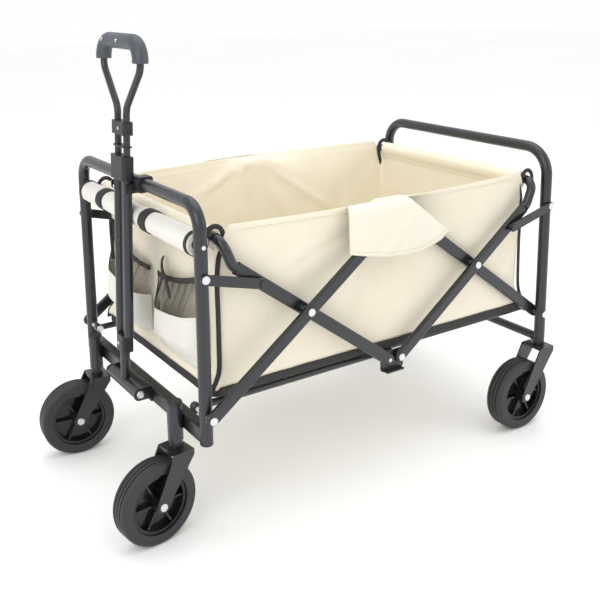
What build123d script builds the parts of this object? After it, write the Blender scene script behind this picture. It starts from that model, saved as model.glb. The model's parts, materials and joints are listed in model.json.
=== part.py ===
"""Folding beach cart: scissor-arm wagon with a fabric tub, caster front and telescopic handle.

Axes: -X is the handle end, +Y its right-hand side when facing that end, +Z up.
The pieces are drawn about the middle of the leg frames, on the floor, and stored about
the middle of the whole outline. All sizes are in millimetres.
"""
from build123d import *
from math import atan2, cos, degrees, radians, sin, sqrt
import os

# ---------------------------------------------------------------- main sizes
frame_length = 900.0  # between the front and rear leg centre lines
frame_width = 556.0  # between the left and right leg centre lines
frame_top = 660.0  # centre line of both top bars
tube_d = 25.0
tube_wall = 1.3
front_bend = 45.0
rear_bend = 60.0
front_leg_foot = 212.0  # lower end of the front legs
rear_leg_foot = 190.0  # lower end of the rear legs

# ---------------------------------------------------------------- scissor arms
pivot_z = 266.0  # height of the lower pivots
arm_angle = 36.5  # slope of the arms when the cart is open
pivot_offset = 15.0  # half the distance between the two centre pivots
arm_width = 25.0
arm_thick = 12.0
arm_wall = 1.4
cross_bar_r = 8.0  # bar that carries the front roll
lower_bar_r = 10.0  # bar between the feet of the rear legs
beam_half_z = 15.0  # half height of the front beam
beam_wall = 1.6
arm_gap = 2.0  # side gap between a leg and the rear lower arm
outer_gap = 5.5  # side gap between a leg and the front lower arm
pin_r = 4.0
run_fit = 0.05  # radial clearance of a turning pin
open_fit = 0.5  # radial clearance at the open pivots
head_r = 8.0
head_h = 3.0
hem_bar_r = 10.0
hem_x = frame_length / 2 - 42  # cross bar inside each end hem
hem_z = 592.0
hem_bend = 26.0
upper_arm_reach = 452.0  # straight part of an upper arm above its lower pivot

# ---------------------------------------------------------------- short links
link_width = 20.0
link_thick = 3.0
link_pin_z = 529.9  # pin on the leg
link_step = 121.0  # from the scissor cross pin to the link pin, along the upper arm

# ---------------------------------------------------------------- wheels
wheel_r = 82.5
tyre_width = 42.0
rim_r = 60.0
axle_r = 5.0
hub_r = 15.0
hub_width = 50.0
rim_width = 34.0
web_half = 4.0  # half the thickness of the closed disc between hub and rim
spokes = 6
spoke_thick = 4.0
tread_grooves = (-9.0, 0.0, 9.0)
groove_half = 1.2
groove_depth = 2.0
fork_plate = 3.5
fork_inner = 51.0  # free width between the fork arms
caster_x = -frame_length / 2 - 25
caster_y = 199.5
caster_trail = 52.0
caster_turns = {-1: 7.0, 1: -5.0}  # near and far caster, degrees about +Z
stem_r = 8.0
socket_r = 15.0
socket_z0 = 192.0
socket_z1 = 264.0
rear_axle_x = frame_length / 2 - 69

# ---------------------------------------------------------------- handle
handle_pivot_x = -frame_length / 2 - 39
handle_pivot_z = 235.0
handle_lean = 2.2  # degrees from upright, towards the tub
handle_tube_gap = 42.0  # between the twin tube centre lines
outer_tube_r = 9.5
inner_tube_r = 7.0
slide_fit = 0.08
grip_span = 176.0
grip_height = 702.0  # grip centre line above the handle pivot
grip_r = 15.5

# ---------------------------------------------------------------- handle mount
ear_y = 70.0  # inner face of each ear
ear_thick = 3.0
ear_r = 13.0
clip_gap = 0.6  # between the clip and the handle's outer tube
stem_gap = 0.4  # under and over a caster socket

# ---------------------------------------------------------------- tub
tub_half_x = hem_x - 6
tub_half_y = 246.0
tub_floor_z = 292.0
tub_top_z = 612.0
cloth = 1.4
mat_thick = 4.0
hem_pad = 7.0  # thickness of a padded end hem around its bar
roll_r = 19.0
roll_z = 588.0
strap_half = 14.0
strap_thick = 1.4
strap_places = (-70.0, 149.0)
pocket_depth = 32.0
pocket_spans = ((-214.0, -16.0), (40.0, 226.0))
pocket_low = 318.0
pocket_mid = 412.0  # where the cloth ends and the mesh begins
pocket_top = 482.0

leg_x = frame_length / 2
leg_y = frame_width / 2
tube_r = tube_d / 2
arm_half = (leg_x - pivot_offset) / (2 * cos(radians(arm_angle)))  # pivot to cross pin
arm_full = 2 * arm_half
cross_x = pivot_offset + arm_half * cos(radians(arm_angle))
cross_z = pivot_z + arm_half * sin(radians(arm_angle))
hinge_z = pivot_z + arm_full * sin(radians(arm_angle))
upper_in = leg_y - arm_thick / 2  # inner face of an upper arm
upper_out = leg_y + arm_thick / 2
outer_in = leg_y + tube_r + outer_gap  # inner face of a front lower arm
outer_out = outer_in + arm_thick
inner_out = leg_y - tube_r - arm_gap  # outer face of a rear lower arm
inner_in = inner_out - arm_thick
rail_r = 7.0
front_rail_y = inner_in - 11.5
rear_rail_y = front_rail_y - 16.0
hinge_plate = 3.0

floor_shift = 71.1  # moves the middle of the leg frames to the middle of the outline

PARTS = {}


def put(name, *solids):
    """Store one named piece, made of one or more separate solids."""
    flat = []
    for item in solids:
        flat.extend(Pos(floor_shift, 0, 0) * solid for solid in item.solids())
    shape = flat[0] if len(flat) == 1 else Compound(children=flat)
    PARTS[name] = shape


def both(solid):
    """The solid and its mirror image on the other side of the cart."""
    return [solid, solid.mirror(Plane.XZ)]


def rod(x, z, y0, y1, r):
    """A round rod along Y between two side positions."""
    return Pos(x, (y0 + y1) / 2, z) * Rot(90, 0, 0) * Cylinder(r, abs(y1 - y0))


def post(x, y, z0, z1, r):
    """A round rod along Z between two heights."""
    return Pos(x, y, (z0 + z1) / 2) * Cylinder(r, z1 - z0)


def block(x0, x1, y0, y1, z0, z1):
    """A box given by its faces."""
    centre = Pos((x0 + x1) / 2, (y0 + y1) / 2, (z0 + z1) / 2)
    return centre * Box(abs(x1 - x0), abs(y1 - y0), abs(z1 - z0))


def rivet(x, z, y0, y1, heads=(True, True), r=pin_r):
    """A pin along Y with a domed head on each chosen end."""
    body = rod(x, z, y0, y1, r)
    low, high = min(y0, y1), max(y0, y1)
    for use, y, side in zip(heads, (low, high), (-1, 1)):
        if use:
            head = rod(x, z, y, y + side * head_h, head_r)
            edge = head.edges().sort_by(Axis.Y)[0 if side < 0 else -1]
            body += fillet(edge, head_h * 0.7)
    return body


def bent_tube(points, bend, outer_r, wall):
    """A closed-end tube along a line of points with one bend radius."""
    path = FilletPolyline(*points, radius=bend)
    start = Plane(origin=path @ 0, z_dir=path % 0)
    outer = sweep(start * Circle(outer_r), path=path)
    inner = sweep(start * Circle(outer_r - wall), path=path)
    tube = outer - inner
    for t in (0, 1):
        way = path % t if t == 0 else -(path % t)
        cap = Plane(origin=path @ t, z_dir=way) * Cylinder(
            outer_r - wall / 2, 3, align=(Align.CENTER, Align.CENTER, Align.MIN))
        tube += cap
    return tube


def ring(x, z, y0, y1, r_out, r_in):
    """A plain spacer ring along Y."""
    return rod(x, z, y0, y1, r_out) - rod(x, z, y0 - 1, y1 + 1, r_in)


def flat_arm(length, ends, holes, y0, y1):
    """A flat-oval tube along +X from the origin, with rounded ends and bossed pin holes.

    ends are the lengths beyond the first and last pivot; holes are (distance, radius).
    """
    low, high = -ends[0], length + ends[1]
    mid = (low + high) / 2
    outline = SlotOverall(high - low, arm_width)
    shell = extrude(Plane.XZ * Pos(mid, 0) * outline, (y1 - y0) / 2, both=True)
    shell = fillet(shell.edges(), arm_thick * 0.36)
    core_outline = SlotOverall(high - low - 2 * arm_wall, arm_width - 2 * arm_wall)
    core = extrude(Plane.XZ * Pos(mid, 0) * core_outline, (y1 - y0) / 2 - arm_wall, both=True)
    for where, r in holes:
        core -= rod(where, 0, -20, 20, r + 3)
    shell -= core
    for where, r in holes:
        shell -= rod(where, 0, -20, 20, r)
    return Pos(0, (y0 + y1) / 2, 0) * shell


def at_slope(solid, x, z, angle):
    """Turn a solid made along +X up by an angle and move its origin to x, z."""
    return Pos(x, 0, z) * Rot(0, -angle, 0) * solid


def mirror_x(solid):
    """The same solid at the other end of the cart."""
    return solid.mirror(Plane.YZ)


# ---------------------------------------------------------------- frames
def u_frame(x, bend, foot):
    """One end frame: two legs and a top bar bent from a single tube."""
    pts = [(x, -leg_y, foot), (x, -leg_y, frame_top), (x, leg_y, frame_top), (x, leg_y, foot)]
    return bent_tube(pts, bend, tube_r, tube_wall)


def end_frames():
    """Front and rear frames with their cross members, feet and bolts."""
    front = u_frame(-leg_x, front_bend, front_leg_foot)
    rear = u_frame(leg_x, rear_bend, rear_leg_foot)
    hole = rod(0, 0, -leg_y - 40, leg_y + 40, pin_r)
    front -= Pos(-leg_x, 0, pivot_z) * hole
    rear -= Pos(leg_x, 0, pivot_z) * hole
    for pin in both(rod(0, link_pin_z, leg_y + 4, leg_y + 20, pin_r)):
        front -= Pos(-leg_x, 0, 0) * pin
        rear -= Pos(leg_x, 0, 0) * pin
        front -= Pos(-leg_x, 0, roll_z - link_pin_z) * pin
    legs = [post(-leg_x, s * leg_y, 150, 300, tube_r) for s in (-1, 1)]
    beam_z = front_leg_foot + beam_half_z
    core = (tube_r - beam_wall, leg_y - beam_half_z, beam_half_z - beam_wall)
    beam = block(-leg_x - tube_r, -leg_x + tube_r, -leg_y, leg_y, beam_z - beam_half_z, beam_z + beam_half_z)
    beam = fillet(beam.edges().filter_by(Axis.Y), 4)
    beam -= block(-leg_x - core[0], -leg_x + core[0], -core[1], core[1], beam_z - core[2], beam_z + core[2])
    for leg in legs:
        beam -= leg
    cross_len = leg_y - tube_r + 1
    bar = rod(-leg_x, roll_z, -cross_len, cross_len, cross_bar_r)
    bar -= rod(-leg_x, roll_z, -cross_len + 4, cross_len - 4, cross_bar_r - tube_wall)
    low_z = rear_leg_foot + 15
    rear_bar = rod(leg_x, low_z, -leg_y, leg_y, lower_bar_r)
    rear_bar -= rod(leg_x, low_z, -leg_y + 15, leg_y - 15, lower_bar_r - tube_wall)
    for x, name in ((-leg_x, "front"), (leg_x, "rear")):
        for s in (-1, 1):
            leg = post(x, s * leg_y, 150, frame_top - 48, tube_r)
            if name == "front":
                bar -= leg
            else:
                rear_bar -= leg
    put("front_frame_tube", front)
    put("rear_frame_tube", rear + rear_bar)
    put("front_cross_bar", bar)
    for socket in both(caster_socket()):
        beam += socket
    put("front_lower_beam", beam)
    foot = post(-leg_x, leg_y, front_leg_foot - 5, front_leg_foot, tube_r)
    foot = fillet(foot.edges().sort_by(Axis.Z)[0], 3)
    put("front_leg_feet", *both(foot))


def frame_bolts():
    """Shouldered lower bolts, link bolts and cross-bar bolts carried by the end frames."""
    leg_in = leg_y - tube_r
    leg_out = leg_y + tube_r
    front = rivet(-leg_x, pivot_z, front_rail_y - 9, outer_out + 0.4)
    front += shoulder(-leg_x, pivot_z, front_rail_y + rail_r + 0.3, leg_in + 2)
    front += shoulder(-leg_x, pivot_z, leg_out - 2, outer_in - 0.3)
    rear = rivet(leg_x, pivot_z, rear_rail_y - 9, leg_out)
    rear += shoulder(leg_x, pivot_z, rear_rail_y + rail_r + 0.3, inner_in - 0.3)
    rear += shoulder(leg_x, pivot_z, inner_out + 0.3, leg_in + 2)
    leg = post(-leg_x, leg_y, pivot_z - 20, pivot_z + 20, tube_r) - rod(-leg_x, pivot_z, 0, 400, pin_r)
    front -= leg
    rear -= mirror_x(leg)
    link = rivet(-leg_x, link_pin_z, leg_y + 4, leg_out + link_thick + 1.4, (False, True))
    cross = rod(-leg_x, roll_z, leg_out - 4, leg_out + 0.4, pin_r)
    put("front_frame_bolts", *both(front), *both(link), *both(cross))
    put("rear_frame_bolts", *both(rear), *both(mirror_x(link)))


def shoulder(x, z, y0, y1):
    """A spacing shoulder on a bolt."""
    return rod(x, z, y0, y1, 6.5)


# ---------------------------------------------------------------- scissor arms
def upper_arms():
    """Arms from the centre brackets up to the end hems, with their cross pins and spacers."""
    holes = [(0, pin_r + run_fit), (arm_half, pin_r)]
    arm = flat_arm(upper_arm_reach, (arm_width / 2, arm_width / 2), holes, upper_in, upper_out)
    arm -= block(upper_arm_reach, upper_arm_reach + arm_width, 0, leg_y + arm_width, -arm_width, arm_width)
    arm += block(upper_arm_reach - 4, upper_arm_reach, upper_in + arm_wall, upper_out - arm_wall, -9, 9)
    arm = at_slope(arm, pivot_offset, pivot_z, arm_angle)
    put("rear_upper_arms", *both(arm))
    put("front_upper_arms", *both(mirror_x(arm)))
    put("front_hem_bar", mirror_x(hem_bar()))
    put("rear_hem_bar", hem_bar())
    front = rivet(-cross_x, cross_z, upper_in, outer_out + 0.4)
    front += shoulder(-cross_x, cross_z, upper_out, outer_in - 0.3)
    rear = rivet(cross_x, cross_z, inner_in - 0.4, upper_out)
    rear += shoulder(cross_x, cross_z, inner_out + 0.3, upper_in)
    put("front_cross_pins", *both(front))
    put("rear_cross_pins", *both(rear))


def hem_bar():
    """A round cross bar whose ends bend down into the tops of the rear upper arms."""
    a = radians(arm_angle)
    x0 = pivot_offset + upper_arm_reach * cos(a)
    z0 = pivot_z + upper_arm_reach * sin(a)
    side = [(x0, leg_y, z0), (x0 + 10 * cos(a), leg_y, z0 + 10 * sin(a)), (hem_x, leg_y, hem_z)]
    pts = side + [(x, -y, z) for x, y, z in reversed(side)]
    return bent_tube(pts, hem_bend, hem_bar_r, tube_wall)


def lower_arms():
    """Arms from the leg bolts up to the centre top brackets."""
    front_holes = [(0, pin_r + run_fit), (arm_half, pin_r + run_fit), (arm_full, pin_r + run_fit)]
    rear_holes = [(0, pin_r + run_fit), (arm_half, pin_r + run_fit), (arm_full, pin_r + open_fit)]
    ends = (arm_width / 2, arm_width / 2)
    front = flat_arm(arm_full, ends, front_holes, outer_in, outer_out)
    rear = flat_arm(arm_full, ends, rear_holes, inner_in, inner_out)
    put("front_lower_arms", *both(at_slope(front, -leg_x, pivot_z, arm_angle)))
    put("rear_lower_arms", *both(mirror_x(at_slope(rear, -leg_x, pivot_z, arm_angle))))


def short_links():
    """Flat links that hold the end frames upright while the arms fold."""
    reach = arm_half + link_step
    x1 = -(pivot_offset + reach * cos(radians(arm_angle)))
    z1 = pivot_z + reach * sin(radians(arm_angle))
    run = x1 + leg_x
    rise = z1 - link_pin_z
    length = sqrt(run * run + rise * rise)
    y0 = leg_y + tube_r + 1
    strip = extrude(Plane.XZ * Pos(length / 2, 0) * SlotOverall(length + link_width, link_width),
                    link_thick / 2, both=True)
    strip = Pos(0, y0 + link_thick / 2, 0) * strip
    strip -= rod(0, 0, y0 - 5, y0 + 10, pin_r + run_fit)
    strip = at_slope(strip, -leg_x, link_pin_z, degrees(atan2(rise, run)))
    pin = rod(x1, z1, y0 + link_thick, y0 + link_thick + head_h, head_r)
    pin = fillet(pin.edges().sort_by(Axis.Y)[-1], head_h * 0.7)
    boss = rod(x1, z1, upper_out + 0.3, y0, 7)
    link = strip + pin + boss
    put("front_links", *both(link))
    put("rear_links", *both(mirror_x(link)))


# ---------------------------------------------------------------- centre hinges
def centre_brackets():
    """Bottom brackets with their cross tube, and the top hinge brackets."""
    y1 = upper_in - 0.5
    y0 = y1 - hinge_plate
    plate = block(-30, 30, y0, y1, pivot_z - 29, pivot_z + 15)
    plate = fillet(plate.edges().filter_by(Axis.Y), 7)
    plate += block(-23, 23, y0, upper_out, pivot_z - 29, pivot_z - 26)
    pins = []
    for x, heads in ((-pivot_offset, (True, False)), (pivot_offset, (True, True))):
        plate -= rod(x, pivot_z, y0 - 1, y1 + 1, pin_r)
        tip = upper_out + (0.4 if heads[1] else 0)
        pins += both(rivet(x, pivot_z, y0, tip, heads))
    tube = rod(0, pivot_z - 16, -y0, y0, 8)
    tube -= rod(0, pivot_z - 16, -y0 + 3, y0 - 3, 6.8)
    for side in both(plate):
        tube += side
    put("bottom_centre_bracket", tube)
    put("bottom_centre_pins", *pins)
    out1 = outer_in - 0.5
    in0 = inner_out + 0.5
    bracket = block(-30, 30, in0, out1, hinge_z - 14, hinge_z + 17)
    bracket = fillet(bracket.edges().filter_by(Axis.Y), 7)
    bracket -= block(-40, 40, in0 + hinge_plate, out1 - hinge_plate, hinge_z - 40, hinge_z + 14)
    bracket -= rod(-pivot_offset, hinge_z, out1 - 10, out1 + 1, pin_r)
    bracket -= rod(pivot_offset, hinge_z, in0 - 1, in0 + 10, pin_r)
    put("top_hinge_brackets", *both(bracket))
    outer_pin = rivet(-pivot_offset, hinge_z, out1 - hinge_plate, outer_out + 0.4)
    inner_pin = rivet(pivot_offset, hinge_z, inner_in - 0.4, in0 + hinge_plate)
    put("top_hinge_pins", *both(outer_pin), *both(inner_pin))


def floor_rails():
    """Four half rails under the floor, hinged on the leg bolts and lapped at the middle."""
    length = leg_x + 20
    for name, y in (("front", front_rail_y), ("rear", rear_rail_y)):
        tube = Pos(-leg_x + length / 2, y, pivot_z) * Rot(0, 90, 0) * Cylinder(rail_r, length)
        core = Pos(-leg_x + length / 2 + 8, y, pivot_z) * Rot(0, 90, 0) * Cylinder(rail_r - 1.2, length - 24)
        eye = rod(-leg_x, pivot_z, y - rail_r, y + rail_r, 9)
        rail = tube + eye - core
        rail -= rod(-leg_x, pivot_z, y - 20, y + 20, pin_r + run_fit)
        if name == "rear":
            rail = mirror_x(rail)
        put(name + "_floor_rails", *both(rail))


# ---------------------------------------------------------------- wheels
def wheel(name, place):
    """A spoked rim and a grooved tyre; the axle runs along Y before placing."""
    edge = rim_width / 2
    rim = rod(0, 0, -edge, edge, rim_r) - rod(0, 0, -edge - 1, edge + 1, rim_r - 7)
    rim += rod(0, 0, -web_half, web_half, rim_r - 6)
    for i in range(spokes):
        blade = block(0, rim_r - 6, -edge + 3, edge - 3, -spoke_thick / 2, spoke_thick / 2)
        rim += Rot(0, 360 / spokes * i, 0) * blade
    rim += rod(0, 0, -hub_width / 2, hub_width / 2, hub_r)
    rim -= rod(0, 0, -hub_width, hub_width, axle_r + run_fit)
    tyre = rod(0, 0, -tyre_width / 2, tyre_width / 2, wheel_r)
    tyre = fillet(tyre.edges(), 8)
    tyre -= rod(0, 0, -tyre_width, tyre_width, rim_r)
    for y in tread_grooves:
        tyre -= ring(0, 0, y - groove_half, y + groove_half, wheel_r + 2, wheel_r - groove_depth)
    put(name + "_rim", place * rim)
    put(name + "_tyre", place * tyre)


def fork_arms(dx, top_z, half_top):
    """Two tapered fork arms from a top plate down to the axle at the origin height."""
    drop = top_z - wheel_r
    outline = make_hull((Pos(0, 0) * Circle(13)).edges() + Polyline(
        (dx - half_top, drop), (dx + half_top, drop), (dx + half_top, drop - 12),
        (dx - half_top, drop - 12), close=True).edges())
    arm = extrude(Plane.XZ * outline, fork_plate / 2, both=True)
    y = fork_inner / 2 + fork_plate / 2
    return [Pos(0, s * y, 0) * arm for s in (-1, 1)]


def fork(dx, top_z, half_top):
    """An inverted U fork around a wheel whose axle is at the origin."""
    half = fork_inner / 2 + fork_plate
    drop = top_z - wheel_r
    body = block(dx - half_top, dx + half_top, -half, half, drop - 5, drop)
    body = fillet(body.edges().filter_by(Axis.X).sort_by(Axis.Z)[-2:], 4)
    for arm in fork_arms(dx, top_z, half_top):
        body += arm
    return body - rod(0, 0, -60, 60, axle_r)


def axle_bolt():
    """An axle bolt with a round head on each side of the fork."""
    half = fork_inner / 2 + fork_plate
    bolt = rod(0, 0, -half, half, axle_r)
    for s in (-1, 1):
        head = rod(0, 0, s * half, s * (half + 5), 8)
        end = head.edges().sort_by(Axis.Y)[0 if s < 0 else -1]
        bolt += fillet(end, 2)
    return bolt


def caster_socket():
    """The upright tube on the front beam that takes a caster stem."""
    beam = block(-leg_x - 12, -leg_x + tube_r, -leg_y, leg_y, 205, 250)
    socket = post(caster_x, caster_y, socket_z0, socket_z1, socket_r) - beam
    return socket - post(caster_x, caster_y, socket_z0 - 1, socket_z1 + 1, stem_r + run_fit)


def casters():
    """Two swivel casters in the sockets of the front beam."""
    cap = post(caster_x, caster_y, socket_z1, socket_z1 + 7, socket_r)
    cap = fillet(cap.edges().sort_by(Axis.Z)[-1], 4)
    put("caster_caps", *both(cap))
    for side, label in ((-1, "left"), (1, "right")):
        turn = Pos(caster_x, side * caster_y, 0) * Rot(0, 0, caster_turns[side])
        place = turn * Pos(-caster_trail, 0, wheel_r)
        body = place * fork(caster_trail, 176.0, 22.0)
        body += post(caster_x, side * caster_y, 176, socket_z0 - stem_gap, 13)
        body += post(caster_x, side * caster_y, 176, socket_z1 - 1, stem_r)
        put("caster_fork_" + label, body)
        put("caster_axle_" + label, place * axle_bolt())
        wheel("front_wheel_" + label, place)


def rear_wheels():
    """Fixed forks under the rear legs with their wheels."""
    bodies = []
    bolts = []
    for side, label in ((-1, "left"), (1, "right")):
        place = Pos(rear_axle_x, side * leg_y, wheel_r)
        bodies.append(place * fork(leg_x - rear_axle_x - 4, rear_leg_foot, 22.0))
        bolts.append(place * axle_bolt())
        wheel("rear_wheel_" + label, place)
    put("rear_forks", *bodies)
    put("rear_axles", *bolts)


# ---------------------------------------------------------------- handle
def handle_mount():
    """The front bracket that holds the handle's pivot bolt, and the clip on the top bar."""
    ear_out = ear_y + ear_thick
    face = -leg_x - tube_r
    plate_z = front_leg_foot + beam_half_z
    plate = block(face - ear_thick, face, -ear_out, ear_out, plate_z - ear_r, plate_z + ear_r)
    low, high = handle_pivot_z - ear_r, handle_pivot_z + ear_r
    for s in (-1, 1):
        ear = block(handle_pivot_x - ear_r, face, s * ear_y, s * ear_out, low, high)
        edges = ear.edges().filter_by(Axis.Y).sort_by(Axis.X)[:2]
        plate += fillet(edges, 11)
    plate -= rod(handle_pivot_x, handle_pivot_z, -90, 90, axle_r)
    put("handle_mount", plate)
    screws = [rivet(handle_pivot_x, handle_pivot_z, -ear_out, ear_out, r=axle_r)]
    for y in (-52, -64, 52, 64):
        head = Pos(face - ear_thick - 1.5, y, plate_z) * Rot(0, 90, 0) * Cylinder(4.5, 3)
        screws.append(head)
    put("handle_mount_bolts", *screws)
    gap = outer_grip_half() + clip_gap
    jaw = []
    for side, wide in ((-1, 24), (1, 10)):
        wrap = block(-leg_x - 16, -leg_x + 15.5, side * (gap + 4), side * (gap + 4 + wide),
                     frame_top - 16, frame_top + 15.5)
        wrap = fillet(wrap.edges().filter_by(Axis.Y), 5)
        tongue = block(-leg_x - 34, -leg_x + 8, side * gap, side * (gap + 4), frame_top - 20, frame_top - 1)
        tongue = fillet(tongue.edges().filter_by(Axis.Y).sort_by(Axis.X)[:2], 5)
        wrap += tongue
        jaw.append(wrap - rod(-leg_x, frame_top, -100, 100, tube_r))
    put("handle_clip", *jaw)


def outer_grip_half():
    """Half the side-to-side width of the outer twin tube."""
    return handle_tube_gap / 2 + outer_tube_r


def lean(solid):
    """Move a handle piece from its own upright frame to its place on the cart."""
    return Pos(handle_pivot_x, 0, handle_pivot_z) * Rot(0, handle_lean, 0) * solid


def handle_lower():
    """Pivot tube, stem, socket, twin outer tube and lock housing."""
    base = 106.0
    top = 442.0
    lock_base = 430.0
    half = handle_tube_gap / 2
    pivot = ring(0, 0, -ear_y + 0.5, ear_y - 0.5, 12.5, axle_r + run_fit)
    stem = post(0, 0, 0, 84, 10) - post(0, 0, 14, 90, 8.5)
    stem -= rod(0, 0, -30, 30, 12.5)
    put("handle_stem", lean(pivot + stem))
    socket = block(-13, 13, -18, 18, 70, base)
    socket = fillet(socket.edges().filter_by(Axis.Z), 7)
    socket -= post(0, 0, 60, 84, 10)
    put("handle_socket", lean(socket))
    outer = block(-2, 2, -half, half, base, top)
    for s in (-1, 1):
        outer += post(0, s * half, base, top, outer_tube_r)
    for s in (-1, 1):
        outer -= post(0, s * half, base + 3, top + 1, inner_tube_r + slide_fit)
    put("handle_outer_tube", lean(outer))
    lock = block(-14, outer_tube_r - 1, -half - 12.5, half + 12.5, lock_base, lock_base + 48)
    lock = fillet(lock.edges().filter_by(Axis.Z).sort_by(Axis.X)[:2], 8)
    for s in (-1, 1):
        lock -= post(0, s * half, lock_base - 5, top, outer_tube_r)
        lock -= post(0, s * half, lock_base - 5, lock_base + 60, inner_tube_r + slide_fit)
    lock -= block(-2, 2, -half, half, lock_base - 5, top)
    put("handle_lock_housing", lean(lock))
    rivets = []
    for z, x, y in ((88, -13, 0), (lock_base - 18, -outer_tube_r, half)):
        rivets.append(lean(Pos(x - 1, y, z) * Rot(0, 90, 0) * Cylinder(3.5, 2)))
    put("handle_rivets", *rivets)


def handle_upper():
    """Sliding twin tube bent into a loop, with its collar, stop band, grip and screws."""
    half = handle_tube_gap / 2
    span = grip_span / 2
    low = 118.0
    flare0 = 572.0
    flare1 = 650.0
    right = [(0, half, low), (0, half, flare0), (0, span, flare1), (0, span, grip_height)]
    pts = right + [(x, -y, z) for x, y, z in reversed(right)]
    loop = bent_tube(pts, 34.0, inner_tube_r, 1.2)
    put("handle_loop", lean(loop))
    path = FilletPolyline(*[(0, span, 664), (0, span, grip_height), (0, -span, grip_height), (0, -span, 664)],
                          radius=34.0)
    disc = Plane(origin=path @ 0, z_dir=path % 0)
    grip = sweep(disc * Circle(grip_r), path=path) - sweep(disc * Circle(inner_tube_r), path=path)
    collar = block(-11, 11, -half - 11, half + 11, 520, 546)
    collar = fillet(collar.edges().filter_by(Axis.Z), 7)
    band = block(-9, 9, -half - 9, half + 9, 495, 498)
    band = fillet(band.edges().filter_by(Axis.Z), 6)
    for s in (-1, 1):
        collar -= post(0, s * half, 500, 560, inner_tube_r)
        band -= post(0, s * half, 480, 500, inner_tube_r)
    put("handle_collar", lean(collar), lean(band))
    screws = []
    for y in (-12, 60):
        screw = Pos(-grip_r - 0.4, y, grip_height + 1) * Rot(0, 90, 0) * Cylinder(3.5, 2.4)
        grip -= screw
        screws.append(lean(screw))
    screws.append(lean(Pos(-11.75, -6, 533) * Rot(0, 90, 0) * Cylinder(3.5, 1.5)))
    put("handle_grip", lean(grip))
    put("handle_screws", *screws)


# ---------------------------------------------------------------- fabric
def tub():
    """Walls, floor and board of the fabric tub, hung between the hems."""
    z0 = tub_floor_z - cloth
    inner = tub_half_x - cloth
    notch = hem_x - hem_bar_r - hem_pad - 2
    end_top = hem_z - hem_bar_r - hem_pad - 1
    side = block(-inner, inner, tub_half_y - cloth, tub_half_y, z0 + cloth, end_top)
    side += block(-notch, notch, tub_half_y - cloth, tub_half_y, end_top, tub_top_z)
    front = block(-tub_half_x, -tub_half_x + cloth, -tub_half_y, tub_half_y, z0 + cloth, end_top)
    put("tub_walls", *both(side), front, mirror_x(front))
    put("tub_floor", block(-tub_half_x, tub_half_x, -tub_half_y, tub_half_y, z0, z0 + cloth))
    board = block(-tub_half_x + 6, tub_half_x - 6, -tub_half_y + 6, tub_half_y - 6,
                  tub_floor_z, tub_floor_z + mat_thick)
    put("floor_board", fillet(board.edges().filter_by(Axis.Z), 12))


def hems():
    """Padded end hems around the two cross bars."""
    hem = ring(hem_x, hem_z, -tub_half_y + 3, tub_half_y - 3, hem_bar_r + hem_pad, hem_bar_r)
    put("rear_hem", hem)
    put("front_hem", mirror_x(hem))


def flaps():
    """Cloth flaps over the top hinge brackets."""
    y0 = tub_half_y + 1.5
    y1 = outer_out + 6
    top = block(-118, 112, y0, y1, hinge_z + 19, hinge_z + 19 + cloth)
    face = Plane.XZ * make_face(Polyline((-122, hinge_z + 21), (-140, hinge_z - 48), (-118, hinge_z - 72),
                                         (0, hinge_z - 86), (92, hinge_z - 72), (128, hinge_z - 48),
                                         (112, hinge_z + 21), close=True))
    face = extrude(face, cloth / 2, both=True)
    top += Pos(0, y1 - cloth / 2, 0) * face
    put("hinge_flaps", *both(top))


def front_roll():
    """Rolled cover strapped on the front cross bar."""
    x = -leg_x + 4
    half = leg_y - tube_r - 4
    roll = rod(x, roll_z, -half, half, roll_r) - rod(-leg_x, roll_z, -half - 1, half + 1, cross_bar_r)
    straps = []
    for y in strap_places:
        strap = ring(x, roll_z, y - strap_half, y + strap_half, roll_r + strap_thick, roll_r)
        straps.append(strap)
    put("front_roll", roll)
    put("roll_straps", *straps)


def pockets():
    """Two open-topped pockets on the front wall: cloth below, mesh above."""
    back = -tub_half_x
    front = back - pocket_depth
    for name, z0, z1 in (("pocket_bags", pocket_low, pocket_mid), ("pocket_meshes", pocket_mid, pocket_top)):
        bags = []
        for y0, y1 in pocket_spans:
            bag = block(front, back, y0, y1, z0, z1)
            low = z0 + cloth if name == "pocket_bags" else z0 - 1
            bag -= block(front + cloth, back + 1, y0 + cloth, y1 - cloth, low, z1 + 1)
            bags.append(bag)
        put(name, *bags)


def main():
    """Build every piece and write one file per named piece."""
    end_frames()
    frame_bolts()
    upper_arms()
    lower_arms()
    short_links()
    centre_brackets()
    floor_rails()
    casters()
    rear_wheels()
    handle_mount()
    handle_lower()
    handle_upper()
    tub()
    hems()
    flaps()
    front_roll()
    pockets()
    os.makedirs("parts", exist_ok=True)
    for name, shape in PARTS.items():
        export_step(shape, "parts/" + name + ".step")


main()
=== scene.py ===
"""Folding beach cart: cloth, webbing, net and surface finishes around the fixed frame.

Lengths in the classes are millimetres from the middle of the leg frames, as the maker
would measure them; `at` turns them into metres in the row frame.
"""

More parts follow.
